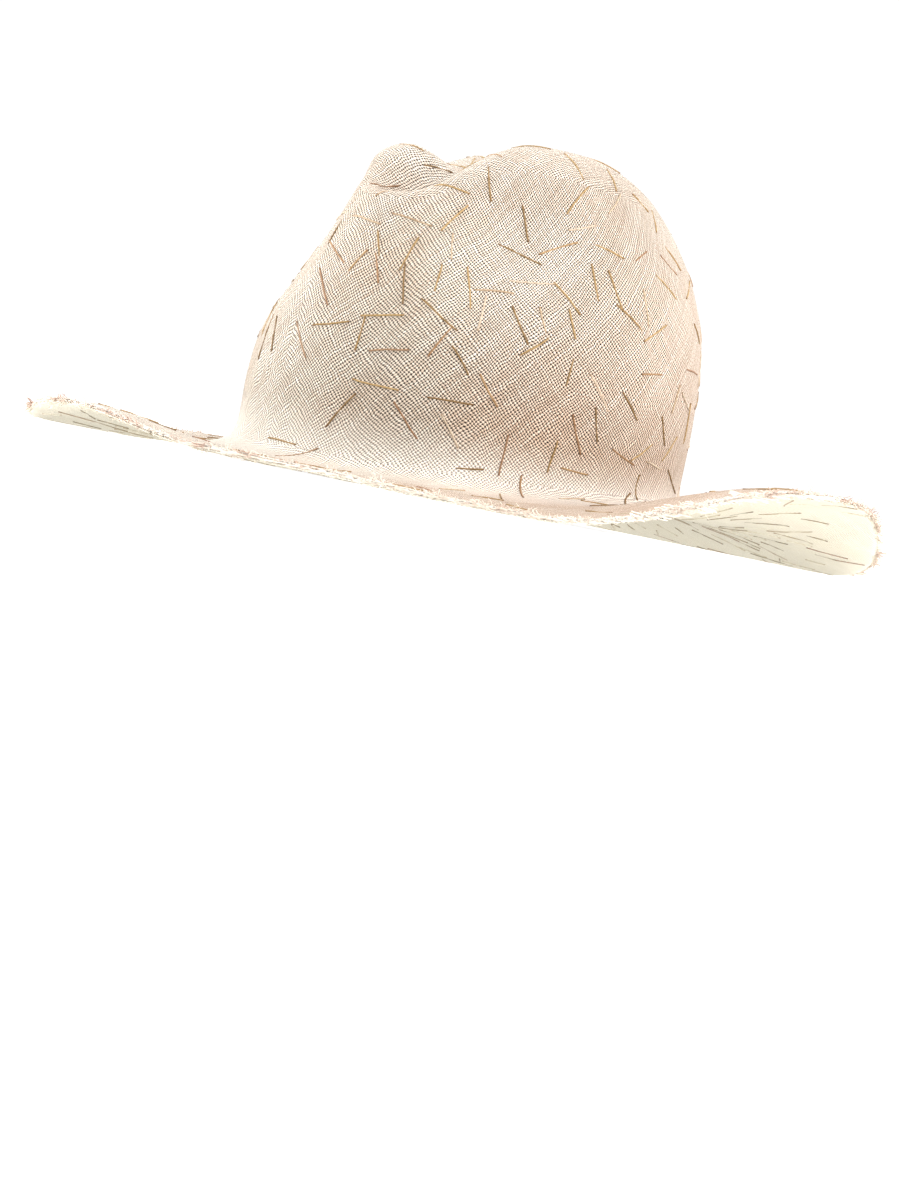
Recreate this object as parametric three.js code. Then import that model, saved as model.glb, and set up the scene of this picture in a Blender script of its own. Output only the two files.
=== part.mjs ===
// A straw hat: a dented, pinched crown and a wavy two-layer brim woven and blocked in one,
// with a black ribbon sweatband inside. It rests on its brim on z = 0.
// Millimetres. The front of the hat faces -Y and the wearer's left is +X.

import * as THREE from 'three';

// Crown
const headLength = 206;            // outside of the crown at the headline, front to back
const headWidth = 174;             // the same, side to side
const crownHeight = 147;           // headline to the top, before it is dented
const planPower = 2.7;             // how square the crown's shoulders are
const sidePower = 3.1;             // how upright its sides and back are
const frontPower = 4.7;            // how upright its front is
const wallBulge = 5;               // the sides and back swell by this at half height
const frontLean = 24;              // the front leans back by this at the top
const tipPush = 9;                 // the front tip of the crown stands forward by this
const pinchDepth = 23;             // the deeper of the two pinches beside the tip
const creaseDepth = 22;            // the fold along the top
const creaseWidth = 34;

// Brim
const brimWidth = 88;              // crown to edge
const wingLift = 31;               // how high the raised left side stands off the floor
const breakHeight = 12;            // the soft turn from crown to brim, up the wall
const breakReach = 19;             // and out along the brim

// Layers
const strawWall = 1.2;             // outer woven straw
const underWall = 1;               // under layer of the brim
const layerGap = 0.3;              // clearance between layers
const turnUpHeight = 24;           // the under layer turns up inside the crown by this

// Sweatband
const bandHeight = 26;
const bandWall = 1;
const bandDrop = 3;                // it hangs below the headline by this

// How the hat rests
const headlineRise = 9;            // height of the headline's middle, on the outer straw
const noseDip = THREE.MathUtils.degToRad(2.7);    // the back of the crown stands higher
const sideDip = THREE.MathUtils.degToRad(0.8);    // and so does its left side

// Mesh density
const columns = 64;

// The crown's rings on the wall, as shares of crownHeight
const wallRings = [
  { rise: 0.86 }, { rise: 0.80 }, { rise: 0.73 }, { rise: 0.65 }, { rise: 0.56 },
  { rise: 0.46 }, { rise: 0.36 }, { rise: 0.26 }, { rise: turnUpHeight / crownHeight },
];

// The rings on the top, as shares of the highest wall ring's reach
const topRings = [
  { reach: 0 }, { reach: 0.13 }, { reach: 0.26 }, { reach: 0.39 }, { reach: 0.52 },
  { reach: 0.65 }, { reach: 0.77 }, { reach: 0.88 }, { reach: 0.95 },
];

// Rings around the soft turn, from the crown at 0 to the brim at 1
const breakRings = [{ turn: 0.25 }, { turn: 0.5 }, { turn: 0.75 }];

// The brim's rings, from the end of the soft turn at 0 to the edge at 1
const brimRings = [
  { out: 0 }, { out: 0.16 }, { out: 0.32 }, { out: 0.48 }, { out: 0.63 },
  { out: 0.78 }, { out: 0.92 }, { out: 1 },
];

// The brim's edge. Azimuth runs from the front towards the wearer's left, in degrees.
// Reach is a share of brimWidth.
const brimReach = [
  { azimuth: 0, reach: 0.87 },
  { azimuth: 40, reach: 0.96 },
  { azimuth: 100, reach: 1.02 },
  { azimuth: 190, reach: 0.98 },
  { azimuth: 290, reach: 1.02 },
  { azimuth: 335, reach: 0.96 },
];

// Lift, over the floor, is a share of wingLift
const brimLift = [
  { azimuth: 0, lift: 0.05 },
  { azimuth: 20, lift: 0.04 },
  { azimuth: 36, lift: 0 },
  { azimuth: 50, lift: 0 },
  { azimuth: 62, lift: 0.24 },
  { azimuth: 74, lift: 0.66 },
  { azimuth: 87, lift: 0.93 },
  { azimuth: 100, lift: 1 },
  { azimuth: 111, lift: 0.88 },
  { azimuth: 122, lift: 0.55 },
  { azimuth: 135, lift: 0.20 },
  { azimuth: 152, lift: 0 },
  { azimuth: 207, lift: 0 },
  { azimuth: 224, lift: 0.08 },
  { azimuth: 242, lift: 0.14 },
  { azimuth: 260, lift: 0.16 },
  { azimuth: 276, lift: 0.06 },
  { azimuth: 286, lift: 0 },
  { azimuth: 304, lift: 0 },
  { azimuth: 315, lift: 0.08 },
  { azimuth: 326, lift: 0.20 },
  { azimuth: 341, lift: 0.30 },
  { azimuth: 351, lift: 0.18 },
];

// Dents pushed into the wall. Rise, across, below and above are shares of crownHeight,
// depth a share of pinchDepth; below and above say how far the dent fades down and up.
const wallDents = [
  { azimuth: 46, rise: 0.71, depth: 0.60, across: 0.27, below: 0.18, above: 0.14 },
  { azimuth: -42, rise: 0.69, depth: 1.00, across: 0.25, below: 0.21, above: 0.16 },
  { azimuth: 92, rise: 0.76, depth: 0.17, across: 0.38, below: 0.10, above: 0.10 },
  { azimuth: -92, rise: 0.76, depth: 0.16, across: 0.38, below: 0.10, above: 0.10 },
];

// Hollows in the top beside the fold. Ahead and left are shares of crownHeight,
// depth a share of creaseDepth and spread a share of crownHeight.
const topDents = [
  { ahead: 0.05, left: -0.24, depth: 0.62, spread: 0.18 },
];

function ease(from, to, value) {
  const share = THREE.MathUtils.clamp((value - from) / (to - from), 0, 1);
  return share * share * (3 - 2 * share);
}

function bell(distance, spread) {
  return Math.exp(-((distance / spread) ** 2));
}

// A smooth periodic curve through the table's rows that never overshoots them
function roundTable(rows, column, azimuth) {
  const count = rows.length;
  const at = (index) => rows[(index + count) % count];
  const span = (index) => (at(index + 1).azimuth - at(index).azimuth + 360) % 360;
  const slope = (index) => (at(index + 1)[column] - at(index)[column]) / span(index);
  const tangent = (index) => {
    const before = slope(index - 1);
    const after = slope(index);
    return before * after <= 0 ? 0 : (2 * before * after) / (before + after);
  };
  const turned = ((azimuth % 360) + 360) % 360;
  let index = 0;
  while (index < count - 1 && rows[index + 1].azimuth <= turned) index += 1;
  const width = span(index);
  const share = (turned - at(index).azimuth) / width;
  const rest = 1 - share;
  const start = (1 + 2 * share) * rest * rest * at(index)[column];
  const end = share * share * (3 - 2 * share) * at(index + 1)[column];
  const leave = share * rest * rest * width * tangent(index);
  const arrive = share * share * rest * width * tangent(index + 1);
  return start + end + leave - arrive;
}

function ovalReach(radians) {
  return 1 / Math.hypot(Math.sin(radians) / (headWidth / 2), Math.cos(radians) / (headLength / 2));
}

// The crown before it is dented: how far out it reaches at a share of its height
function plainReach(rise, power) {
  return (1 - rise ** power) ** (1 / planPower);
}

function dentWall(point) {
  const pushed = point.clone();
  const reach = Math.hypot(point.x, point.y);
  for (const dent of wallDents) {
    const radians = THREE.MathUtils.degToRad(dent.azimuth);
    const left = Math.sin(radians);
    const ahead = Math.cos(radians);
    const along = -point.y * ahead + point.x * left;
    const across = point.y * left + point.x * ahead;
    const over = point.z - dent.rise * crownHeight;
    const fade = (over < 0 ? dent.below : dent.above) * crownHeight;
    const share = bell(across, dent.across * crownHeight) * bell(over, fade);
    const push = pinchDepth * dent.depth * share * ease(0, 0.34 * crownHeight, along);
    pushed.x -= push * left;
    pushed.y += push * ahead;
  }
  const rise = THREE.MathUtils.clamp(point.z / crownHeight, 0, 1);
  const front = ease(0, 0.44 * headLength, -point.y);
  pushed.y += frontLean * front * rise ** 1.5;
  const tipAcross = bell(point.x, 0.17 * headWidth);
  const tipUp = bell(point.z - 0.83 * crownHeight, 0.15 * crownHeight);
  pushed.y -= tipPush * tipAcross * tipUp * ease(0.15 * headLength, 0.34 * headLength, -point.y);
  const swell = wallBulge * Math.sin(Math.PI * rise);
  const behind = 0.35 + 0.65 * ease(-0.64 * reach, 0.34 * reach, point.y);
  const outward = reach > 0 ? (swell * behind) / (headWidth / 2) : 0;
  pushed.x += point.x * outward;
  pushed.y += point.y * outward;
  return pushed;
}

function dentTop(plain, pushed) {
  const top = ease(0.62 * crownHeight, 0.9 * crownHeight, plain.z);
  const ahead = -plain.y;
  const foldEnds = ease(0.45 * headLength, 0.35 * headLength, ahead)
    * ease(-0.39 * headLength, -0.12 * headLength, ahead);
  const foldAcross = Math.exp(-((Math.abs(pushed.x) / (creaseWidth / 2)) ** 2.2));
  let sink = creaseDepth * foldAcross * foldEnds;
  for (const dent of topDents) {
    const away = Math.hypot(ahead - dent.ahead * crownHeight, plain.x - dent.left * crownHeight);
    sink += creaseDepth * dent.depth * bell(away, dent.spread * crownHeight);
  }
  pushed.z -= sink * top;
  return pushed;
}

// A point of the crown's outside on a wall ring or a top ring, headline at z = 0
function crownPoint(degrees, ring) {
  const radians = THREE.MathUtils.degToRad(degrees);
  const aside = Math.abs(THREE.MathUtils.euclideanModulo(degrees + 180, 360) - 180);
  const power = frontPower + (sidePower - frontPower) * ease(10, 80, aside);
  let reach;
  let rise;
  if (ring.rise !== undefined) {
    rise = ring.rise;
    reach = plainReach(Math.max(rise, 0), power);
  } else {
    reach = ring.reach * plainReach(wallRings[0].rise, power);
    rise = (1 - reach ** planPower) ** (1 / power);
  }
  const radius = reach * ovalReach(radians);
  const x = radius * Math.sin(radians);
  const y = -radius * Math.cos(radians);
  const plain = new THREE.Vector3(x, y, rise * crownHeight);
  return dentTop(plain, dentWall(plain));
}

// From the headline's own frame to the hat as it rests
const tilt = new THREE.Euler(noseDip, -sideDip, 0);

function settle(point) {
  return point.applyEuler(tilt).add(new THREE.Vector3(0, 0, headlineRise));
}

function headlineHeight(x, y) {
  return headlineRise + x * Math.tan(sideDip) + y * Math.tan(noseDip);
}

const layers = strawWall + layerGap + underWall;

// A point of the brim's upper face; share runs from the crown at 0 to the edge at 1
function brimPoint(degrees, share) {
  const radians = THREE.MathUtils.degToRad(degrees);
  const width = brimWidth * roundTable(brimReach, 'reach', degrees);
  const radius = ovalReach(radians) + width * share;
  const x = radius * Math.sin(radians);
  const y = -radius * Math.cos(radians);
  const flatFrom = breakShare(degrees) + (1 - breakShare(degrees)) * brimRings.at(-2).out;
  const wave = ease(0, flatFrom, share) ** 1.1;
  const edge = layers + wingLift * roundTable(brimLift, 'lift', degrees);
  return new THREE.Vector3(x, y, headlineHeight(x, y) * (1 - wave) + edge * wave);
}

function breakShare(degrees) {
  return breakReach / (brimWidth * roundTable(brimReach, 'reach', degrees));
}

function breakPoint(degrees, turn) {
  const wall = settle(crownPoint(degrees, { rise: breakHeight / crownHeight }));
  const corner = settle(crownPoint(degrees, { rise: 0 }));
  const brim = brimPoint(degrees, breakShare(degrees));
  const rest = 1 - turn;
  return wall.multiplyScalar(rest * rest)
    .addScaledVector(corner, 2 * turn * rest)
    .addScaledVector(brim, turn * turn);
}

const azimuths = Array.from({ length: columns }, (unused, index) => (index * 360) / columns);

function ringOf(makePoint) {
  return azimuths.map((degrees) => makePoint(degrees));
}

// The whole upper face of the hat, ring by ring, from the crown's top to the brim's edge
const upperFace = [
  ...topRings.map((ring) => ({
    points: ringOf((degrees) => settle(crownPoint(degrees, ring))), brim: false })),
  ...wallRings.map((ring) => ({
    points: ringOf((degrees) => settle(crownPoint(degrees, ring))), brim: false })),
  { points: ringOf((degrees) => breakPoint(degrees, 0)), brim: false },
  ...breakRings.map((ring) => ({
    points: ringOf((degrees) => breakPoint(degrees, ring.turn)), brim: false })),
  ...brimRings.map((ring) => ({
    points: ringOf((degrees) => {
      const start = breakShare(degrees);
      return brimPoint(degrees, start + (1 - start) * ring.out);
    }),
    brim: true,
  })),
];

// The way into the straw at a point: square to the wall, or straight down on the brim
function wayIn(row, column) {
  if (upperFace[row].brim) return new THREE.Vector3(0, 0, -1);
  if (row === 0) return capWayIn();
  const ring = upperFace[row].points;
  const after = ring[(column + 1) % columns];
  const before = ring[(column + columns - 1) % columns];
  const around = after.clone().sub(before);
  const higher = upperFace[row - 1].points[column];
  const lower = upperFace[row + 1].points[column];
  const down = lower.clone().sub(higher);
  return around.cross(down).normalize();
}

function capWayIn() {
  const first = upperFace[1].points;
  const quarter = columns / 4;
  const sideways = first[quarter].clone().sub(first[3 * quarter]);
  const lengthways = first[0].clone().sub(first[2 * quarter]);
  return sideways.cross(lengthways).normalize();
}

function sunk(fromRow, toRow, depth) {
  return upperFace.slice(fromRow, toRow + 1).map((ring, offset) => ring.points.map(
    (point, column) => point.clone().addScaledVector(wayIn(fromRow + offset, column), depth),
  ));
}

// A closed wall between an outer and an inner stack of rings. A stack that starts
// at one shared point closes there; any other end is closed by a strip.
function closedWall(outer, inner, startsAtPoint) {
  const positions = [];
  const faces = [];
  const place = (rings) => rings.map((ring, row) => {
    const single = startsAtPoint && row === 0;
    const first = positions.length / 3;
    const kept = single ? [ring[0]] : ring;
    for (const point of kept) positions.push(point.x, point.y, point.z);
    return ring.map((point, column) => (single ? first : first + column));
  });
  const outerRows = place(outer);
  const innerRows = place(inner);
  const quad = (a, b, c, d) => {
    if (b !== c) faces.push(a, b, c);
    if (c !== d) faces.push(a, c, d);
  };
  for (let column = 0; column < columns; column += 1) {
    const next = (column + 1) % columns;
    for (let row = 0; row + 1 < outerRows.length; row += 1) {
      const top = outerRows[row];
      const below = outerRows[row + 1];
      quad(below[column], below[next], top[next], top[column]);
      const innerTop = innerRows[row];
      const innerBelow = innerRows[row + 1];
      quad(innerBelow[column], innerTop[column], innerTop[next], innerBelow[next]);
    }
    const last = outerRows.length - 1;
    quad(innerRows[last][column], innerRows[last][next], outerRows[last][next], outerRows[last][column]);
    if (!startsAtPoint) {
      quad(outerRows[0][column], outerRows[0][next], innerRows[0][next], innerRows[0][column]);
    }
  }
  const geometry = new THREE.BufferGeometry();
  geometry.setAttribute('position', new THREE.Float32BufferAttribute(positions, 3));
  geometry.setIndex(faces);
  geometry.computeVertexNormals();
  return geometry;
}

function named(name, geometry, color, roughness) {
  const material = new THREE.MeshStandardMaterial({ color, roughness, metalness: 0 });
  const mesh = new THREE.Mesh(geometry, material);
  mesh.name = name;
  return mesh;
}

const edgeRow = upperFace.length - 1;
const breakRow = topRings.length + wallRings.length;

function makeCrownAndBrim() {
  const outer = sunk(0, edgeRow, 0);
  const inner = sunk(0, edgeRow, strawWall);
  return named('crown_and_brim', closedWall(outer, inner, true), '#d8c3ae', 0.85);
}

// The under layer follows the outer straw, a clearance below it, and turns up inside
function makeUnderBrim() {
  const above = strawWall + layerGap;
  const outer = sunk(breakRow - 1, edgeRow, above);
  const inner = sunk(breakRow - 1, edgeRow, above + underWall);
  return named('under_brim', closedWall(outer, inner, false), '#f1ecda', 0.85);
}

function makeSweatband() {
  const clearance = layers + layerGap;
  const heights = [bandHeight - bandDrop, (bandHeight - bandDrop) / 2, 0, -bandDrop];
  const face = (depth) => heights.map((height) => azimuths.map((degrees) => {
    const point = crownPoint(degrees, { rise: Math.max(height, 0) / crownHeight });
    const reach = Math.hypot(point.x, point.y);
    point.x *= 1 - depth / reach;
    point.y *= 1 - depth / reach;
    point.z = height;
    return settle(point);
  }));
  const geometry = closedWall(face(clearance), face(clearance + bandWall), false);
  return named('sweatband', geometry, '#14130f', 0.7);
}

const hat = new THREE.Group();
hat.name = 'straw_hat';
hat.add(makeCrownAndBrim(), makeUnderBrim(), makeSweatband());

// The origin is under the middle of the hat's own box
const box = new THREE.Box3().setFromObject(hat);
hat.position.set(-(box.min.x + box.max.x) / 2, -(box.min.y + box.max.y) / 2, -box.min.z);

export default hat;
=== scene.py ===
import heapq
import math

import bmesh
import bpy
import numpy as np
from mathutils import Matrix, Vector, noise


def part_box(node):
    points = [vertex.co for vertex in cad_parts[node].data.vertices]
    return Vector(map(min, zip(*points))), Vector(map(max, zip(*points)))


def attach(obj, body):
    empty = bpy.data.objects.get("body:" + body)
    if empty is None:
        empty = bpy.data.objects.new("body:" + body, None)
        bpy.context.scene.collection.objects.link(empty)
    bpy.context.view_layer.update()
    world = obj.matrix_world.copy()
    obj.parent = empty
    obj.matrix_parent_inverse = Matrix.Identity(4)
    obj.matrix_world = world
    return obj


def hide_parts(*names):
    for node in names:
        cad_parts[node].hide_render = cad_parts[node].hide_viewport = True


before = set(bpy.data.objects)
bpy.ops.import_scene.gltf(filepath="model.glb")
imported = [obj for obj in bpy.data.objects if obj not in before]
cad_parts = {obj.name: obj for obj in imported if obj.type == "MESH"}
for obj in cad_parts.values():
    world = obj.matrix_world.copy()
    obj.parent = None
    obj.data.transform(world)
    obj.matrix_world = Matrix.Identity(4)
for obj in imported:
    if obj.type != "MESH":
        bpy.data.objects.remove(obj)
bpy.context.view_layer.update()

scene = bpy.context.scene


# The direction in which something lies, seen from the hat: azimuth 0 is in front of it
def towards(azimuth, elevation):
    azimuth, elevation = math.radians(azimuth), math.radians(elevation)
    level = math.cos(elevation)
    return Vector((math.sin(azimuth) * level, -math.cos(azimuth) * level, math.sin(elevation)))


def headlineCentre():
    low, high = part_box("sweatband")
    return (low.x + high.x) / 2, (low.y + high.y) / 2


# The camera stands where the hat is seen three-quarter from the front, just above the floor
camera = {
    "azimuth": 37.6,           # degrees round the hat from straight in front
    "elevation": 0.1,
    "roll": 11.3,
    "distance": 1.9,
    "focal": 4500,             # pixels
    "image": (900, 1200),
    "headlineAt": (455, 480),  # the pixel where the middle of the headline falls
    "headlineRise": 0.009,
    "sensor": 36,
    "clip": (0.05, 100),
}


def makeCamera():
    target = Vector((*headlineCentre(), camera["headlineRise"]))
    azimuth, roll = math.radians(camera["azimuth"]), math.radians(camera["roll"])
    level = Vector((math.cos(azimuth), math.sin(azimuth), 0))
    back = towards(camera["azimuth"], camera["elevation"])
    right = level * math.cos(roll) + back.cross(level) * math.sin(roll)
    turn = Matrix((right, back.cross(right), back)).transposed()
    width, height = camera["image"]
    across, down = camera["headlineAt"]
    aside, above = (across - width / 2) / camera["focal"], (height / 2 - down) / camera["focal"]
    sees = Vector((aside, above, -1))
    turn = turn @ sees.rotation_difference(Vector((0, 0, -1))).to_matrix()
    lens = bpy.data.cameras.new("camera")
    lens.sensor_width = camera["sensor"]
    lens.lens = camera["focal"] * camera["sensor"] / height
    lens.clip_start, lens.clip_end = camera["clip"]
    viewer = bpy.data.objects.new("camera", lens)
    viewer.matrix_world = Matrix.Translation(target + back * camera["distance"]) @ turn.to_4x4()
    scene.collection.objects.link(viewer)
    scene.camera = viewer


# Bright soft light from both sides and above, so that what faces the camera is a little darker
studio = {
    "floorSize": 40,
    "floorColour": (0.60, 0.60, 0.597, 1),
    "floorGrain": (0.85, 0.85, 0.84, 1),
    "floorGlow": 0.85,         # the floor is lit from below a little, as on a light table
    "skyStrength": 1.06,
    "lampsAim": 0.06,
}
lamps = [
    {"name": "left", "azimuth": -50, "elevation": 28, "away": 1.7, "size": 1.0, "power": 31,
     "colour": (1.0, 0.99, 0.98)},
    {"name": "right", "azimuth": 118, "elevation": 28, "away": 1.7, "size": 1.0, "power": 21,
     "colour": (1.0, 0.92, 0.88)},
    {"name": "top", "azimuth": 50, "elevation": 84, "away": 1.6, "size": 0.7, "power": 11,
     "colour": (1.0, 1.0, 1.0)},
    {"name": "back", "azimuth": 215, "elevation": 30, "away": 1.7, "size": 1.0, "power": 10,
     "colour": (1.0, 0.99, 0.97)},
    {"name": "key", "azimuth": 78, "elevation": 34, "away": 1.7, "size": 0.6, "power": 8,
     "colour": (1.0, 0.97, 0.96)},
    {"name": "lowRight", "azimuth": 96, "elevation": 6, "away": 1.5, "size": 0.3, "power": 6,
     "colour": (1.0, 0.97, 0.95)},
    {"name": "lowLeft", "azimuth": -70, "elevation": 6, "away": 1.5, "size": 0.3, "power": 8,
     "colour": (1.0, 0.99, 0.97)},
]


def makeStudio():
    world = bpy.data.worlds.new("studio")
    world.use_nodes = True
    sky = world.node_tree.nodes["Background"]
    sky.inputs["Color"].default_value = (1, 1, 1, 1)
    sky.inputs["Strength"].default_value = studio["skyStrength"]
    scene.world = world
    for lamp in lamps:
        light = bpy.data.lights.new(lamp["name"], "AREA")
        light.shape, light.size = "DISK", lamp["size"]
        light.energy, light.color = lamp["power"], lamp["colour"]
        out = towards(lamp["azimuth"], lamp["elevation"])
        holder = bpy.data.objects.new(lamp["name"], light)
        holder.location = out * lamp["away"] + Vector((0, 0, studio["lampsAim"]))
        holder.rotation_euler = out.to_track_quat("Z", "Y").to_euler()
        scene.collection.objects.link(holder)
    half = studio["floorSize"] / 2
    corners = [(-half, -half, 0), (half, -half, 0), (half, half, 0), (-half, half, 0)]
    mesh = bpy.data.meshes.new("floor")
    mesh.from_pydata(corners, [], [(0, 1, 2, 3)])
    floor = bpy.data.objects.new("floor", mesh)
    scene.collection.objects.link(floor)
    paper = Sheet.material("paper")
    grain = paper.mottle(paper.place(), 300, 3)
    colour = paper.blend(grain * 0.06, studio["floorColour"], studio["floorGrain"])
    mesh.materials.append(paper.finish(colour, 0.75, {
        "Specular IOR Level": 0.2,
        "Emission Color": (1, 1, 1, 1),
        "Emission Strength": studio["floorGlow"],
    }))
    scene.view_settings.view_transform = "Standard"


# A socket that takes part in sums, and the sheet of nodes that it is on
class Term:
    def __init__(self, sheet, socket):
        self.sheet, self.socket = sheet, socket

    def maths(self, operation, *others, swap=False):
        terms = (others[0], self) if swap else (self,) + others
        sockets = dict(enumerate(terms))
        return self.sheet.node("ShaderNodeMath", {"operation": operation}, sockets)

    def __add__(self, other):
        return self.maths("ADD", other)

    def __sub__(self, other):
        return self.maths("SUBTRACT", other)

    def __rsub__(self, other):
        return self.maths("SUBTRACT", other, swap=True)

    def __mul__(self, other):
        return self.maths("MULTIPLY", other)

    def __mod__(self, other):
        return self.maths("FLOORED_MODULO", other)

    def __gt__(self, other):
        return self.maths("GREATER_THAN", other)

    __radd__ = __add__
    __rmul__ = __mul__

    def spread(self, low, high, newLow=0.0, newHigh=1.0):
        return self.sheet.node("ShaderNodeMapRange", {"interpolation_type": "SMOOTHSTEP"}, {
            0: self, 1: low, 2: high, 3: newLow, 4: newHigh})


class Sheet:
    def __init__(self, tree, owner=None):
        self.tree, self.owner = tree, owner

    @classmethod
    def material(cls, name):
        owner = bpy.data.materials.new(name)
        owner.use_nodes = True
        owner.node_tree.nodes.clear()
        return cls(owner.node_tree, owner)

    @classmethod
    def geometry(cls, name, sizes):
        tree = bpy.data.node_groups.new(name, "GeometryNodeTree")
        sockets = tree.interface
        sockets.new_socket("Surface", in_out="INPUT", socket_type="NodeSocketGeometry")
        for size, value in sizes.items():
            kind = "NodeSocketInt" if isinstance(value, int) else "NodeSocketFloat"
            sockets.new_socket(size, in_out="INPUT", socket_type=kind).default_value = value
        sockets.new_socket("Surface", in_out="OUTPUT", socket_type="NodeSocketGeometry")
        sheet = cls(tree)
        entry = tree.nodes.new("NodeGroupInput")
        sheet.given = {socket.name: Term(sheet, socket) for socket in entry.outputs if socket.name}
        return sheet

    def node(self, kind, settings, sockets, output=0):
        made = self.tree.nodes.new(kind)
        for key, value in settings.items():
            if key == "stops":
                ramp = made.color_ramp.elements
                while len(ramp) < len(value):
                    ramp.new(0.5)
                for stop, (place, colour) in zip(ramp, value):
                    stop.position, stop.color = place, colour
            else:
                setattr(made, key, value)
        for key, value in sockets.items():
            if isinstance(value, Term):
                self.tree.links.new(value.socket, made.inputs[key])
            elif value is not None:
                made.inputs[key].default_value = value
        return Term(self, made.outputs[output]) if len(made.outputs) else None

    def place(self):
        return self.node("ShaderNodeTexCoord", {}, {}, "Object")

    def own(self, name, output="Fac"):
        return self.node("ShaderNodeAttribute", {"attribute_name": name}, {}, output)

    def stored(self, name, kind="FLOAT"):
        return self.node("GeometryNodeInputNamedAttribute", {"data_type": kind}, {"Name": name})

    def mottle(self, place, scale, detail, **more):
        sockets = {"Vector": place, "Scale": scale, "Detail": detail}
        sockets.update(more)
        return self.node("ShaderNodeTexNoise", {}, sockets)

    # A vector that wanders to all sides of zero
    def waver(self, place, scale, detail=0.0):
        sockets = {"Vector": place, "Scale": scale, "Detail": detail}
        wander = self.node("ShaderNodeTexNoise", {}, sockets, 1)
        return self.vector("SUBTRACT", wander, (0.5, 0.5, 0.5))

    def chance(self, low, high, step):
        sockets = {2: low, 3: high, "Seed": self.given["Seed"] + step}
        return self.node("FunctionNodeRandomValue", {"data_type": "FLOAT"}, sockets, 1)

    def blend(self, share, first, second, how="MIX"):
        settings = {"data_type": "RGBA", "blend_type": how}
        return self.node("ShaderNodeMix", settings, {0: share, 6: first, 7: second}, 2)

    def between(self, share, first, second):
        sockets = {0: share, 4: first, 5: second}
        return self.node("ShaderNodeMix", {"data_type": "VECTOR"}, sockets, 1)

    def vector(self, operation, first, second=None, scale=None):
        sockets = {0: first, 1: second}
        if scale is not None:
            sockets["Scale"] = scale
        return self.node("ShaderNodeVectorMath", {"operation": operation}, sockets)

    def scaled(self, vector, scale):
        return self.vector("SCALE", vector, scale=scale)

    def part(self, vector, axis):
        return self.node("ShaderNodeSeparateXYZ", {}, {0: vector}, axis)

    def joined(self, x=0.0, y=0.0, z=0.0):
        return self.node("ShaderNodeCombineXYZ", {}, {0: x, 1: y, 2: z})

    def keep(self, geometry, name, value, domain):
        settings = {"data_type": "FLOAT", "domain": domain}
        sockets = {"Geometry": geometry, "Name": name, "Value": value}
        return self.node("GeometryNodeStoreNamedAttribute", settings, sockets)

    # A straight line of so many points, for a splint or a strand
    def straight(self, start, end, count):
        line = self.node("GeometryNodeCurvePrimitiveLine", {}, {"Start": start, "End": end})
        sockets = {"Curve": line, "Count": count}
        return self.node("GeometryNodeResampleCurve", {"mode": "COUNT"}, sockets)

    # Gives curves their thickness and material, and ends the tree
    def closeWithTubes(self, curves, radius, thickness, sides, material):
        sized = self.node("GeometryNodeSetCurveRadius", {}, {"Curve": curves, "Radius": radius})
        circle = {"Resolution": sides, "Radius": thickness}
        profile = self.node("GeometryNodeCurvePrimitiveCircle", {}, circle)
        tubes = self.node("GeometryNodeCurveToMesh", {}, {
            "Curve": sized, "Profile Curve": profile, "Fill Caps": True})
        real = self.node("GeometryNodeRealizeInstances", {}, {"Geometry": tubes})
        last = self.node("GeometryNodeSetMaterial", {}, {"Geometry": real, "Material": material})
        self.tree.links.new(last.socket, self.tree.nodes.new("NodeGroupOutput").inputs[0])
        return self.tree

    def finish(self, colour, roughness, fixed, height=None, depth=0.0):
        sockets = {"Base Color": colour, "Roughness": roughness}
        sockets.update(fixed)
        if height is not None:
            bump = {"Height": height, "Distance": depth, "Strength": 1.0}
            sockets["Normal"] = self.node("ShaderNodeBump", {}, bump)
        shader = self.node("ShaderNodeBsdfPrincipled", {}, sockets)
        self.node("ShaderNodeOutputMaterial", {}, {"Surface": shader})
        return self.owner


# The straw is woven one over, one under. On the crown's wall the threads climb slantwise round it,
# and on the crown's top and the brim they run from front to back and from side to side
straw = {
    "pitch": 0.00118,          # thread to thread
    "levels": 2,
    "ripple": 0.0005,          # the hand-blocked surface wanders by this
    "rippleScale": 22,
    "rippleSeed": 5,
    "flatBelow": 0.002,        # it doesn't wander up and down where it rests
    "wallSlope": (0.50, 0.72), # a face steeper than this belongs to the wall
    "wallReach": 0.055,
    "crownAbove": 0.07,        # its top is somewhere above this height
    "pole": (0.015, 0.055),    # the grain is plain at the pole and wound round it farther out
    "girthAt": 0.06,           # the height where the threads round the wall are counted
}

# Painted light and a paler raw edge: the straw is painted paler where the crown's foot turns and a
# little on its level top, as if lit there, and it is paler at the raw edge
paintedLightAndPaleEdge = {
    "foot": 1.2,
    "footHeight": (0.016, 0.030),
    "footReach": (0.098, 0.128),
    "top": 0.1,
    "topHeight": (0.122, 0.137),
    "topSlope": (0.35, 0.75),
    "edge": 1.6,
    "edgeWidth": 0.003,
}


def smoothCopy(node, name, levels):
    mesh = bpy.data.meshes.new(name)
    work = bmesh.new()
    work.from_mesh(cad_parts[node].data)
    bmesh.ops.remove_doubles(work, verts=work.verts, dist=1e-5)
    bmesh.ops.join_triangles(
        work, faces=work.faces, angle_face_threshold=math.pi, angle_shape_threshold=math.pi)
    work.to_mesh(mesh)
    work.free()
    mesh.materials.clear()
    for layer in [layer for layer in mesh.attributes if layer.name == "custom_normal"]:
        mesh.attributes.remove(layer)
    piece = bpy.data.objects.new(name, mesh)
    scene.collection.objects.link(piece)
    rounder = piece.modifiers.new("rounder", "SUBSURF")
    rounder.levels = rounder.render_levels = levels
    settle(piece)
    return piece


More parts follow.
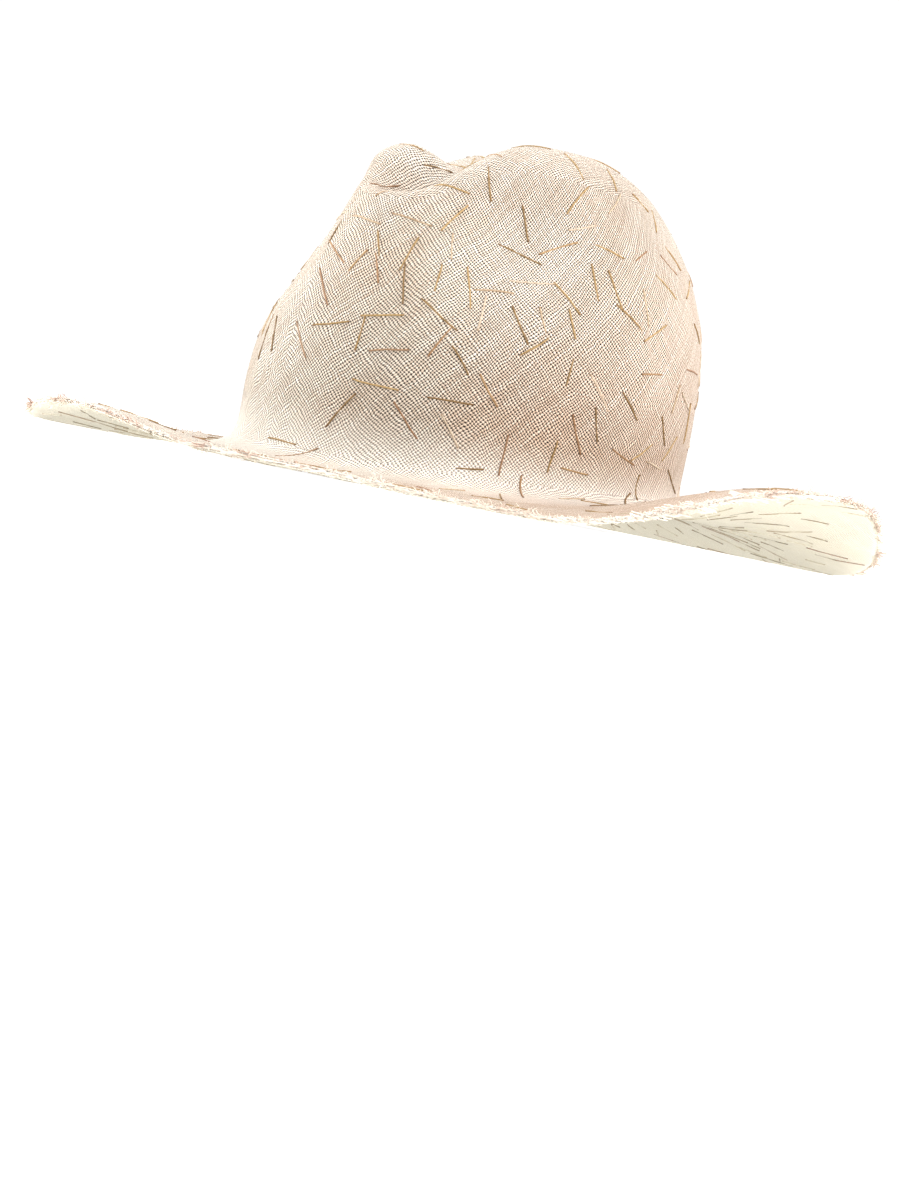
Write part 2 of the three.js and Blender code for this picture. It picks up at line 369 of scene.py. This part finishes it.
# Turns a piece and its modifiers into a plain mesh
def settle(piece):
    shapes = bpy.context.evaluated_depsgraph_get()
    shapes.update()
    mesh = bpy.data.meshes.new_from_object(
        piece.evaluated_get(shapes), preserve_all_data_layers=True, depsgraph=shapes)
    piece.modifiers.clear()
    piece.data = mesh
    mesh.name = piece.name
    mesh.shade_smooth()


def pointsOf(mesh):
    out = np.empty(len(mesh.vertices) * 3)
    mesh.vertices.foreach_get("co", out)
    return out.reshape(-1, 3)


def normalsOf(mesh):
    out = np.empty(len(mesh.vertices) * 3)
    mesh.vertex_normals.foreach_get("vector", out)
    return out.reshape(-1, 3)


def store(mesh, name, values):
    kind = "FLOAT" if values.ndim == 1 else "FLOAT_VECTOR"
    layer = mesh.attributes.new(name, kind, "POINT")
    values = values.astype(np.float32).ravel()
    layer.data.foreach_set("value" if kind == "FLOAT" else "vector", values)


# 0 up to the low value, 1 from the high one on
def fade(values, low, high):
    return np.clip((values - low) / (high - low), 0, 1)


# Moves every layer alike, so that they stay as far apart as they were
def ripple(piece):
    places = pointsOf(piece.data)
    noise.seed_set(straw["rippleSeed"])
    for place in places:
        at = Vector(place) * straw["rippleScale"]
        push = noise.noise_vector(at) + 0.4 * noise.noise_vector(at * 2.7)
        lift = min(max((place[2] - straw["flatBelow"]) / 0.01, 0), 1)
        place += np.array(push) * straw["ripple"] * (1, 1, lift)
    piece.data.vertices.foreach_set("co", places.ravel())
    piece.data.update()


# Distance along the surface from the poles, one on each face of the straw
def distanceFromPoles(mesh, poleEdges=30):
    edges = np.empty(len(mesh.edges) * 2, dtype=int)
    mesh.edges.foreach_get("vertices", edges)
    edges = edges.reshape(-1, 2)
    places = pointsOf(mesh)
    lengths = np.linalg.norm(places[edges[:, 0]] - places[edges[:, 1]], axis=1)
    nextTo = [[] for _ in range(len(places))]
    for (first, second), length in zip(edges.tolist(), lengths.tolist()):
        nextTo[first].append((second, length))
        nextTo[second].append((first, length))
    distance = [math.inf] * len(places)
    waiting = [(0.0, index) for index, around in enumerate(nextTo) if len(around) > poleEdges]
    for _, index in waiting:
        distance[index] = 0.0
    while waiting:
        so, index = heapq.heappop(waiting)
        if so > distance[index]:
            continue
        for other, length in nextTo[index]:
            if so + length < distance[other]:
                distance[other] = so + length
                heapq.heappush(waiting, (so + length, other))
    return np.array(distance)


# Which of so many equal steps round a full turn each angle is in, and the middles of the steps
def turnSteps(angles, steps):
    bins = ((angles / (2 * math.pi) + 0.5) * steps).astype(int) % steps
    middles = ((np.arange(steps) + 0.5) / steps - 0.5) * 2 * math.pi
    return bins, middles


# Running length round the wall at each angle, for threads that are evenly spaced round it
def roundTheWall(angles, reach, steps=128):
    bins, middles = turnSteps(angles, steps)
    reaches = np.array([reach[bins == step].mean() for step in range(steps)])
    corners = np.stack([reaches * np.sin(middles), reaches * np.cos(middles)], 1)
    lengths = np.linalg.norm(np.roll(corners, -1, 0) - corners, axis=1)
    return np.append(middles, middles[0] + 2 * math.pi), np.append(0, np.cumsum(lengths))


# How far out every point is, and how far out the rim is in its direction
def reachAndRim(places, steps=180):
    reach = np.linalg.norm(places[:, :2], axis=1)
    angle = np.arctan2(places[:, 1], places[:, 0])
    bins, middles = turnSteps(angle, steps)
    rims = [reach[bins == step].max() for step in range(steps)]
    return reach, np.interp(angle, middles, rims, period=2 * math.pi)


def layPaintedLightAndPaleEdge(mesh, places, up, reach, woundWall):
    foot = 1 - fade(places[:, 2], *paintedLightAndPaleEdge["footHeight"])
    foot *= 1 - fade(reach, *paintedLightAndPaleEdge["footReach"])
    top = fade(places[:, 2], *paintedLightAndPaleEdge["topHeight"]) * fade(np.abs(up), *paintedLightAndPaleEdge["topSlope"])
    fromOrigin, rim = reachAndRim(places)
    edge = 1 - fade(rim - fromOrigin, 0, paintedLightAndPaleEdge["edgeWidth"])
    # painted light: paler where the crown's foot turns and on its level top
    crown = np.maximum(paintedLightAndPaleEdge["foot"] * foot, paintedLightAndPaleEdge["top"] * top) * woundWall
    store(mesh, "bleach", np.maximum(crown, paintedLightAndPaleEdge["edge"] * edge))


# Lays the wall's own map, in which both families of threads climb at 45 degrees, and gives the
# number of threads round it
def windWall(mesh, angle, reach, places, fromTop):
    slab = (np.abs(places[:, 2] - straw["girthAt"]) < 0.012) & (reach < 0.12)
    tableAngles, tableLengths = roundTheWall(angle[slab], reach[slab])
    total = tableLengths[-1]
    slant = straw["pitch"] * math.sqrt(2)
    count = 2 * round(total / slant / 2)
    loopVertex = np.empty(len(mesh.loops), dtype=int)
    mesh.loops.foreach_get("vertex_index", loopVertex)
    starts = np.empty(len(mesh.polygons), dtype=int)
    sizes = np.empty(len(mesh.polygons), dtype=int)
    mesh.polygons.foreach_get("loop_start", starts)
    mesh.polygons.foreach_get("loop_total", sizes)
    base = np.repeat(angle[loopVertex[starts]], sizes)
    turned = base + (angle[loopVertex] - base + math.pi) % (2 * math.pi) - math.pi
    whole = np.floor((turned - tableAngles[0]) / (2 * math.pi))
    run = np.interp(turned - whole * 2 * math.pi, tableAngles, tableLengths) + whole * total
    aside = run / total * count
    down = fromTop[loopVertex] / slant
    layer = mesh.uv_layers.new(name="wound")
    threads = np.stack([aside + down, aside - down], 1)
    layer.data.foreach_set("uv", threads.astype(np.float32).ravel())
    return count


# Where each thread runs: the wall has a map of its own, and the rest a grain in thread counts
def layThreads(piece, woundWall):
    mesh = piece.data
    places, normals = pointsOf(mesh), normalsOf(mesh)
    offset = places[:, :2] - np.array(headlineCentre())
    reach = np.linalg.norm(offset, axis=1)
    angle = np.arctan2(offset[:, 0], -offset[:, 1])
    up = normals[:, 2]
    out = (offset / np.maximum(reach, 1e-6)[:, None] * normals[:, :2]).sum(1)
    store(mesh, "outside", (up + 0.7 * out > 0).astype(float))
    layPaintedLightAndPaleEdge(mesh, places, up, reach, woundWall)
    grain = np.zeros((len(places), 3))
    grain[:, :2] = offset / straw["pitch"]
    if not woundWall:
        store(mesh, "grain", grain)
        store(mesh, "wall", np.zeros(len(places)))
        return 512
    fromTop = distanceFromPoles(mesh)
    crown = places[:, 2] > straw["crownAbove"]
    wound = np.stack([np.sin(angle), -np.cos(angle)], 1) * fromTop[:, None] / straw["pitch"]
    away = fade(reach, *straw["pole"])[:, None]
    grain[crown, :2] = (grain[:, :2] * (1 - away) + wound * away)[crown]
    store(mesh, "grain", grain)
    steep = 1 - fade(np.abs(up), *straw["wallSlope"])
    store(mesh, "wall", steep * (reach > straw["wallReach"]))
    return windWall(mesh, angle, reach, places, fromTop)


threadLook = {
    "halfWidth": 0.45,         # as a share of the pitch
    "bump": 0.0005,
    "wavers": ((55, 2.3), (260, 0.95)),  # scale, and how many threads the weave sways by
    "toneScale": 26,           # each thread has tones of its own, which change along it
    "paleShare": 0.7,
    "warmShare": 0.35,
    "cloudScale": 17,
    "cloudShare": 0.55,
    "fibreScale": 4.5,
    "fibreShare": 0.22,
    "shadeScale": 11,
    "shadeShare": 0.6,
    "paintedWarmTint": (0.0, 0.09),      # painted warm light: the straw is painted pinker from here to here, towards the left side
    "paintedLightAndEdgeShare": 0.45,
    "gapShade": (0.45, 1.22),
}


# One over, one under: gives how high the straw stands, which family is on top, and both
# threads' numbers
def weave(sheet, threads, turns):
    for scale, sway in threadLook["wavers"]:
        waver = sheet.waver(sheet.place(), scale)
        threads = sheet.vector("ADD", threads, sheet.scaled(waver, sway))
    across, along = sheet.part(threads, 0), sheet.part(threads, 1)
    first, second = across.maths("FLOOR"), along.maths("FLOOR")
    besideFirst, besideSecond = across - first - 0.5, along - second - 0.5
    sign = 1 - 2 * ((first + second) % 2)
    firstRise = sign * (besideSecond * math.pi).maths("COSINE") * 0.5
    secondRise = sign * (besideFirst * math.pi).maths("COSINE") * -0.5
    roundness = 0.9 / threadLook["halfWidth"] ** 2
    firstTop = firstRise + 0.9 - besideFirst * besideFirst * roundness
    secondTop = secondRise + 0.9 - besideSecond * besideSecond * roundness
    higher = firstTop.maths("MAXIMUM", secondTop)
    return higher, secondTop > firstTop, first % turns, second % turns


def strawFinish(name, colours, turns, wound):
    sheet, look = Sheet.material(name), threadLook
    place = sheet.place()
    threads = sheet.own("grain", "Vector")
    if wound:
        share = (sheet.own("wall") + sheet.mottle(place, 90, 2) * 0.6 - 0.3) > 0.5
        onWall = sheet.node("ShaderNodeUVMap", {"uv_map": "wound"}, {})
        threads = sheet.between(share, threads, onWall)
    top, secondOnTop, first, second = weave(sheet, threads, turns)
    tones = []
    for number, shift in ((first, 0.0), (second, 977.0)):
        tones.append(sheet.node("ShaderNodeTexNoise", {"noise_dimensions": "4D"}, {
            "Vector": place, "W": number * 3.7 + shift, "Scale": look["toneScale"], "Detail": 1.5}))
    tone = tones[0] * (1 - secondOnTop) + tones[1] * secondOnTop
    light = sheet.blend(tone.spread(0.34, 0.66), colours["dull"], colours["light"])
    pale = sheet.blend(tone.spread(0.56, 0.78) * look["paleShare"], light, colours["pale"])
    warm = sheet.blend(secondOnTop * look["warmShare"], pale, colours["warm"])
    cloud = sheet.mottle(place, look["cloudScale"], 3, Roughness=0.6)
    clouds = cloud.spread(0.42, 0.66) * look["cloudShare"]
    clouded = sheet.blend(clouds, warm, colours["cloud"], "MULTIPLY")
    fibre = sheet.mottle(threads, look["fibreScale"], 2)
    fibrous = sheet.blend(fibre.spread(0.35, 0.62) * look["fibreShare"], clouded, colours["dull"])
    shade = sheet.mottle(place, look["shadeScale"], 1).spread(0.42, 0.66) * look["shadeShare"]
    shaded = sheet.blend(shade, fibrous, colours["shade"], "MULTIPLY")
    # painted warm light: a pink tint painted towards the left side and lower down, standing in for
    # warm light falling there
    toSide = sheet.part(place, 0) + sheet.part(place, 1) * 0.3 - sheet.part(place, 2) * 0.6
    paintedWarmTint = (toSide + cloud * 0.04).spread(*look["paintedWarmTint"])
    warmTinted = sheet.blend(paintedWarmTint, shaded, colours["paintedWarmTint"], "MULTIPLY")
    # painted light at the crown's foot and top, and the paler raw edge, turn the colour paler and
    # soften the painted gap shade
    bleach = sheet.own("bleach") * cloud.spread(0.25, 0.6, 0.75, 1.0)
    paintedLightAndEdgeMix = sheet.blend(bleach * look["paintedLightAndEdgeShare"], warmTinted, colours["paintedLightAndEdgeColour"])
    # painted shade: the low parts of the weave, between the threads, are painted dark
    gapShade = top.spread(*look["gapShade"], 1.0, 0.0) * (1 - bleach * 0.3)
    colour = sheet.blend(gapShade, paintedLightAndEdgeMix, colours["gapShade"])
    fixed = {"Specular IOR Level": 0.3}
    return sheet.finish(colour, 0.62 + tone * 0.2, fixed, top + fibre * 0.35, look["bump"])


outerColours = {
    "light": (0.84, 0.785, 0.69, 1),
    "dull": (0.63, 0.535, 0.43, 1),
    "pale": (0.96, 0.94, 0.875, 1),
    "warm": (0.79, 0.66, 0.565, 1),
    "cloud": (0.95, 0.85, 0.78, 1),
    # painted shade between the threads
    "gapShade": (0.024, 0.014, 0.009, 1),
    # the pale colour of the painted light and of the raw edge
    "paintedLightAndEdgeColour": (0.92, 0.885, 0.825, 1),
    # the tint of the painted warm light
    "paintedWarmTint": (1.0, 0.92, 0.88, 1),
    "shade": (0.83, 0.80, 0.765, 1),
}
underColours = {
    "light": (0.92, 0.89, 0.78, 1),
    "dull": (0.85, 0.81, 0.69, 1),
    "pale": (0.95, 0.93, 0.85, 1),
    "warm": (0.90, 0.86, 0.75, 1),
    "cloud": (0.98, 0.96, 0.91, 1),
    # painted shade between the threads, lighter on the underside
    "gapShade": (0.60, 0.55, 0.44, 1),
    "paintedLightAndEdgeColour": (0.95, 0.93, 0.84, 1),
    "paintedWarmTint": (1.0, 1.0, 1.0, 1),
    "shade": (0.97, 0.96, 0.94, 1),
}
strawPieces = [
    {"node": "crown_and_brim", "name": "strawBody", "finish": "outerStraw",
     "colours": outerColours, "wound": True},
    {"node": "under_brim", "name": "underStraw", "finish": "underStraw",
     "colours": underColours, "wound": False},
]


def makeStraw():
    pieces = []
    for row in strawPieces:
        piece = smoothCopy(row["node"], row["name"], straw["levels"])
        ripple(piece)
        turns = layThreads(piece, row["wound"])
        material = strawFinish(row["finish"], row["colours"], turns, row["wound"])
        piece.data.materials.append(material)
        print(row["name"], len(piece.data.polygons), "faces")
        pieces.append(piece)
    outer, under = pieces
    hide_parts("crown_and_brim")
    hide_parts("under_brim")
    return outer, under


# A black ribbed ribbon turned up inside the headline
ribbon = {
    "levels": 2,
    "rib": 0.0011,
    # painted shade in the grooves between the ribs
    "groove": (0.006, 0.007, 0.006, 1),
    "ridge": (0.03, 0.035, 0.03, 1),
    "bump": 0.0003,
}


def makeRibbon():
    piece = smoothCopy("sweatband", "ribbonBand", ribbon["levels"])
    mesh = piece.data
    ripple(piece)
    places = pointsOf(mesh)
    offset = places[:, :2] - np.array(headlineCentre())
    angle = np.arctan2(offset[:, 0], -offset[:, 1])
    angles, lengths = roundTheWall(angle, np.linalg.norm(offset, axis=1))
    count = round(lengths[-1] / ribbon["rib"])
    run = np.interp((angle - angles[0]) % (2 * math.pi) + angles[0], angles, lengths) / lengths[-1]
    turns = run * 2 * math.pi
    store(mesh, "ribs", np.stack([np.sin(turns), np.cos(turns), places[:, 2]], 1))
    sheet = Sheet.material("blackRibbon")
    ribs = sheet.own("ribs", "Vector")
    turn = sheet.part(ribs, 0).maths("ARCTAN2", sheet.part(ribs, 1))
    rib = (turn * count).maths("COSINE") * 0.5 + 0.5
    fuzz = sheet.mottle(sheet.place(), 900, 3)
    # painted shade: the grooves between the ribs are painted darker than their ridges
    colour = sheet.blend(rib * 0.6 + fuzz * 0.4, ribbon["groove"], ribbon["ridge"])
    fixed = {"Sheen Weight": 0.3}
    height = rib + fuzz * 0.4
    mesh.materials.append(sheet.finish(colour, 0.55 + fuzz * 0.2, fixed, height, ribbon["bump"]))
    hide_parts("sweatband")
    print("ribbonBand", len(mesh.polygons), "faces")
    return piece


# Short bits of darker straw lie on the weave at all angles
outerSplints = {
    "Apart": 0.0098, "Crowd": 5800.0, "Shortest": 0.011, "Longest": 0.020, "Thickness": 0.00040,
    "Swing": 1.0, "Stray": 1.0, "Lift": 0.00012, "Sink": 0.00030, "Bend": 0.0026, "Seed": 7,
}
underSplints = {
    "Apart": 0.0086, "Crowd": 7200.0, "Shortest": 0.009, "Longest": 0.023, "Thickness": 0.00031,
    "Swing": 0.22, "Stray": 3.2, "Lift": 0.00008, "Sink": 0.00026, "Bend": 0.0046, "Seed": 19,
}
splintGround = {
    "crownAbove": 0.055,
    "brimShare": 0.55,         # the outer brim has fewer than the crown
    "rimMargin": 0.006,        # their middles keep this far in from the rim
    "innerReach": 0.104,       # and on the underside this far out from the middle
    "bareShare": 0.3,          # their ends may lie where none has its middle
    "facesDown": -0.6,
}


# How thickly the splints lie on each point of a piece
def strewGround(mesh, underside):
    ground = splintGround
    places = pointsOf(mesh)
    outside = np.empty(len(mesh.vertices), dtype=np.float32)
    mesh.attributes["outside"].data.foreach_get("value", outside)
    fromOrigin, rim = reachAndRim(places)
    bare = rim - fromOrigin < ground["rimMargin"]
    if underside:
        facing = normalsOf(mesh)[:, 2] < ground["facesDown"]
        share = (facing & (outside < 0.5)).astype(float)
        bare |= fromOrigin < ground["innerReach"]
    else:
        onCrown = places[:, 2] > ground["crownAbove"]
        share = outside * np.where(onCrown, 1.0, ground["brimShare"])
    share[(share > 0) & bare] = ground["bareShare"]
    store(mesh, "splintGround", share)


def splintTree(sizes, material):
    sheet = Sheet.geometry("splints", sizes)
    given, node = sheet.given, sheet.node
    crowding = sheet.stored("splintGround")
    ground = node("GeometryNodeSeparateGeometry", {"domain": "FACE"}, {
        0: given["Surface"], 1: crowding > 0.2})
    strewn = node("GeometryNodeDistributePointsOnFaces", {"distribute_method": "POISSON"}, {
        "Mesh": ground, "Distance Min": given["Apart"], "Density Max": given["Crowd"],
        "Density Factor": crowding * (crowding > 0.4), "Seed": given["Seed"]})
    facing = Term(sheet, strewn.socket.node.outputs["Normal"])
    where = node("GeometryNodeInputPosition", {}, {})
    outward = sheet.vector("MULTIPLY", where, (1, 1, 0))
    upright = node("FunctionNodeAlignRotationToVector", {"axis": "Z"}, {"Vector": facing})
    radial = node("FunctionNodeAlignRotationToVector", {"axis": "X", "pivot_axis": "Z"}, {
        "Rotation": upright, "Vector": outward})
    length = sheet.chance(given["Shortest"], given["Longest"], 1)
    laid = node("GeometryNodeInstanceOnPoints", {}, {
        "Points": strewn, "Instance": sheet.straight((-0.5, 0, 0), (0.5, 0, 0), 8),
        "Rotation": radial, "Scale": sheet.joined(length, 1.0, 1.0)})
    reach = node("ShaderNodeVectorMath", {"operation": "LENGTH"}, {0: outward}, 1)
    stray = reach.spread(0.115, 0.165, 1.0, given["Stray"])
    swing = sheet.chance(-1.0, 1.0, 2) * given["Swing"] * stray * (math.pi / 2)
    turned = {"Instances": laid, "Rotation": sheet.joined(z=swing)}
    swung = node("GeometryNodeRotateInstances", {}, turned)
    for name, step in (("tone", 3), ("girth", 4)):
        swung = sheet.keep(swung, name, sheet.chance(0.0, 1.0, step), "INSTANCE")
    loose = node("GeometryNodeRealizeInstances", {}, {"Geometry": swung})
    bent = node("GeometryNodeSetPosition", {}, {
        "Geometry": loose, "Offset": sheet.scaled(sheet.waver(where, 60.0), given["Bend"])})
    # Lays the bent line back on the straw, into which it dips here and there
    nearest = node("GeometryNodeProximity", {"target_element": "FACES"}, {0: ground})
    normal = node("GeometryNodeSampleNearestSurface", {"data_type": "FLOAT_VECTOR"}, {
        "Mesh": ground, "Value": node("GeometryNodeInputNormal", {}, {})})
    dip = sheet.mottle(where, 170.0, 0.0).spread(0.48, 0.66)
    stand = sheet.scaled(normal, given["Lift"] - dip * given["Sink"])
    lifted = sheet.vector("ADD", nearest, stand)
    height = sheet.part(lifted, 2).maths("MAXIMUM", given["Thickness"] * 1.2)
    kept = sheet.joined(sheet.part(lifted, 0), sheet.part(lifted, 1), height)
    settled = node("GeometryNodeSetPosition", {}, {"Geometry": bent, "Position": kept})
    along = node("GeometryNodeSplineParameter", {}, {})
    marked = sheet.keep(settled, "along", along, "POINT")
    fromMiddle = (along - 0.5).maths("ABSOLUTE") * 2
    taper = 1 - fromMiddle * fromMiddle * fromMiddle * 0.45
    radius = taper * (0.7 + sheet.stored("girth") * 0.5)
    return sheet.closeWithTubes(marked, radius, given["Thickness"], 6, material)


# Runs a tree on a copy of a piece and keeps the result as a plain mesh
def grow(name, base, tree, sizes):
    piece = bpy.data.objects.new(name, base.copy())
    scene.collection.objects.link(piece)
    modifier = piece.modifiers.new(name, "NODES")
    modifier.node_group = tree
    for item in tree.interface.items_tree:
        if item.in_out == "INPUT" and item.name in sizes:
            modifier[item.identifier] = sizes[item.name]
    settle(piece)
    print(name, len(piece.data.polygons), "faces")
    return piece


def splintFinish(name, tones):
    sheet = Sheet.material(name)
    tone, along, place = sheet.own("tone"), sheet.own("along"), sheet.place()
    colour = sheet.node("ShaderNodeValToRGB", {"stops": tones}, {0: tone})
    streak = sheet.mottle(place, 700, 2)
    streaks = streak.spread(0.35, 0.7) * 0.5
    streaked = sheet.blend(streaks, colour, splintShades["streak"], "MULTIPLY")
    ends = (along - 0.5).maths("ABSOLUTE").spread(0.40, 0.5) * 0.55
    ended = sheet.blend(ends, streaked, splintShades["ends"], "MULTIPLY")
    fixed = {"Specular IOR Level": 0.4}
    return sheet.finish(ended, 0.45 + streak * 0.25, fixed, streak, 0.0001)


splintShades = {
    "streak": (0.62, 0.5, 0.4, 1),
    "ends": (0.5, 0.34, 0.2, 1),
}
outerTones = [
    (0.0, (0.17, 0.100, 0.035, 1)), (0.3, (0.26, 0.165, 0.060, 1)),
    (0.6, (0.36, 0.245, 0.105, 1)), (0.78, (0.24, 0.125, 0.060, 1)),
    (0.88, (0.42, 0.330, 0.220, 1)), (1.0, (0.48, 0.400, 0.310, 1)),
]
underTones = [
    (0.0, (0.27, 0.23, 0.16, 1)), (0.3, (0.36, 0.30, 0.20, 1)), (0.5, (0.47, 0.39, 0.27, 1)),
    (0.6, (0.34, 0.23, 0.17, 1)), (0.7, (0.60, 0.55, 0.43, 1)), (1.0, (0.76, 0.73, 0.61, 1)),
]


def makeSplints(outer, under):
    for name, piece, sizes, tones, slot in (
            ("outerSplints", outer, outerSplints, outerTones, "outer_straw"),
            ("underSplints", under, underSplints, underTones, "under_straw")):
        mesh = piece.data
        strewGround(mesh, piece is under)
        made = grow(name, mesh, splintTree(sizes, splintFinish(name, tones)), sizes)
        mesh.attributes.remove(mesh.attributes["splintGround"])
        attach(made, "root")


# The raw edge: both layers end in short torn threads, others lie along it in the groove between
# the layers, and a few longer ones have come loose
frays = [
    {"name": "outerFray", "of": "outer", "slot": "outer_straw", "tones": "pink",
     "Count": 4200, "Shortest": 0.0010, "Longest": 0.0034, "Thickness": 0.00013, "Aside": 0.15,
     "Swing": 1.1, "Tilt": 0.85, "Curl": 0.0034, "Inset": 0.0012, "Drop": 0.0, "Seed": 3},
    {"name": "outerEdgeThreads", "of": "outer", "slot": "outer_straw", "tones": "edge",
     "Count": 2800, "Shortest": 0.003, "Longest": 0.008, "Thickness": 0.00022, "Aside": 1.44,
     "Swing": 0.16, "Tilt": 0.08, "Curl": 0.0024, "Inset": 0.0004, "Drop": 0.0007, "Seed": 11},
    {"name": "underFray", "of": "under", "slot": "under_straw", "tones": "cream",
     "Count": 3600, "Shortest": 0.0010, "Longest": 0.0030, "Thickness": 0.00011, "Aside": 0.15,
     "Swing": 1.0, "Tilt": 0.7, "Curl": 0.0026, "Inset": 0.0012, "Drop": 0.0, "Seed": 5},
    {"name": "looseStrands", "of": "under", "slot": "under_straw", "tones": "cream",
     "Count": 170, "Shortest": 0.003, "Longest": 0.008, "Thickness": 0.00009, "Aside": 0.2,
     "Swing": 1.0, "Tilt": 0.8, "Curl": 0.010, "Inset": 0.001, "Drop": 0.0, "Seed": 23},
]
frayTones = {
    "pink": [(0.0, (0.33, 0.18, 0.12, 1)), (0.25, (0.50, 0.35, 0.28, 1)),
             (0.45, (0.68, 0.56, 0.49, 1)), (0.7, (0.78, 0.71, 0.63, 1)),
             (1.0, (0.86, 0.82, 0.74, 1))],
    "edge": [(0.0, (0.45, 0.32, 0.25, 1)), (0.3, (0.70, 0.59, 0.51, 1)),
             (0.6, (0.84, 0.78, 0.70, 1)), (1.0, (0.90, 0.86, 0.78, 1))],
    "cream": [(0.0, (0.55, 0.49, 0.39, 1)), (0.4, (0.78, 0.74, 0.63, 1)),
              (1.0, (0.90, 0.87, 0.78, 1))],
}
fleckColour = (0.8, 0.66, 0.56, 1)


def evened(line):
    return (np.roll(line, 1, 0) + 2 * line + np.roll(line, -1, 0)) / 4


# The brim's edge as a closed line that knows which way the brim leads out of it
def edgeLine(mesh, steps=160, inward=0.007):
    places = pointsOf(mesh)
    reach = np.linalg.norm(places[:, :2], axis=1)
    bins, _ = turnSteps(np.arctan2(places[:, 1], places[:, 0]), steps)
    line, leads = [], []
    for step in range(steps):
        mine = np.flatnonzero(bins == step)
        rim = mine[reach[mine].argmax()]
        inner = mine[np.abs(reach[mine] - reach[rim] + inward).argmin()]
        line.append(places[rim])
        leads.append(places[rim] - places[inner])
    line, leads = evened(evened(np.array(line))), evened(evened(np.array(leads)))
    leads /= np.linalg.norm(leads, axis=1)[:, None]
    path = bpy.data.meshes.new("edgeLine")
    path.from_pydata(line.tolist(), [(step, (step + 1) % steps) for step in range(steps)], [])
    store(path, "outward", leads)
    return path


def frayTree(sizes, material):
    sheet = Sheet.geometry("fray", sizes)
    given, node = sheet.given, sheet.node
    edge = node("GeometryNodeMeshToCurve", {}, {0: given["Surface"]})
    roots = node("GeometryNodeCurveToPoints", {"mode": "COUNT"}, {
        "Curve": edge, "Count": given["Count"]})
    outward = sheet.stored("outward", "FLOAT_VECTOR")
    drawn = sheet.scaled(outward, given["Inset"] * sheet.chance(-1.0, -0.1, 1))
    drop = sheet.joined(z=given["Drop"] * sheet.chance(0.6, 1.3, 7))
    drawn = sheet.vector("SUBTRACT", drawn, drop)
    roots = node("GeometryNodeSetPosition", {}, {"Geometry": roots, "Offset": drawn})
    facing = node("FunctionNodeAlignRotationToVector", {"axis": "X"}, {"Vector": outward})
    level = node("FunctionNodeAlignRotationToVector", {"axis": "Z", "pivot_axis": "X"}, {
        "Rotation": facing, "Vector": (0, 0, 1)})
    tuft = sheet.mottle(None, 70.0, 1.0).spread(0.35, 0.65, 0.5, 1.35)
    length = sheet.chance(given["Shortest"], given["Longest"], 2) * tuft
    planted = node("GeometryNodeInstanceOnPoints", {}, {
        "Points": roots, "Instance": sheet.straight((0, 0, 0), (1, 0, 0), 6),
        "Rotation": level, "Scale": sheet.joined(length, 1.0, 1.0)})
    side = (sheet.chance(0.0, 1.0, 3) > 0.5) * 2 - 1
    yaw = side * (given["Aside"] + given["Swing"] * sheet.chance(0.0, 1.0, 4))
    turn = sheet.joined(y=given["Tilt"] * sheet.chance(-1.0, 1.0, 5), z=yaw)
    turned = node("GeometryNodeRotateInstances", {}, {"Instances": planted, "Rotation": turn})
    turned = sheet.keep(turned, "tone", sheet.chance(0.0, 1.0, 6), "INSTANCE")
    loose = node("GeometryNodeRealizeInstances", {}, {"Geometry": turned})
    where = node("GeometryNodeInputPosition", {}, {})
    along = node("GeometryNodeSplineParameter", {}, {})
    curl = sheet.scaled(sheet.waver(where, 420.0, 1.0), along * given["Curl"])
    curled = node("GeometryNodeSetPosition", {}, {"Geometry": loose, "Offset": curl})
    height = sheet.part(where, 2).maths("MAXIMUM", 0.0003)
    raised = sheet.joined(sheet.part(where, 0), sheet.part(where, 1), height)
    kept = node("GeometryNodeSetPosition", {}, {"Geometry": curled, "Position": raised})
    return sheet.closeWithTubes(kept, 1.1 - along * 0.5, given["Thickness"], 3, material)


def frayFinish(name, tones):
    sheet = Sheet.material(name)
    place = sheet.place()
    patch = sheet.mottle(place, 38, 2).spread(0.36, 0.64)
    shade = sheet.own("tone") * 0.45 + patch * 0.55
    colour = sheet.node("ShaderNodeValToRGB", {"stops": tones}, {0: shade})
    fleck = sheet.mottle(place, 600, 2)
    flecked = sheet.blend(fleck.spread(0.3, 0.7) * 0.4, colour, fleckColour, "MULTIPLY")
    return sheet.finish(flecked, 0.6 + fleck * 0.2, {"Specular IOR Level": 0.25})


def makeFray(outer, under):
    lines = {"outer": edgeLine(outer.data), "under": edgeLine(under.data)}
    for fray in frays:
        sizes = {key: value for key, value in fray.items() if key[0].isupper()}
        material = frayFinish(fray["name"], frayTones[fray["tones"]])
        made = grow(fray["name"], lines[fray["of"]], frayTree(sizes, material), sizes)
        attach(made, "root")


makeCamera()
makeStudio()
print("camera and studio")
outerPiece, underPiece = makeStraw()
band = makeRibbon()
makeSplints(outerPiece, underPiece)
makeFray(outerPiece, underPiece)
for piece in (outerPiece, underPiece, band):
    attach(piece, "root")
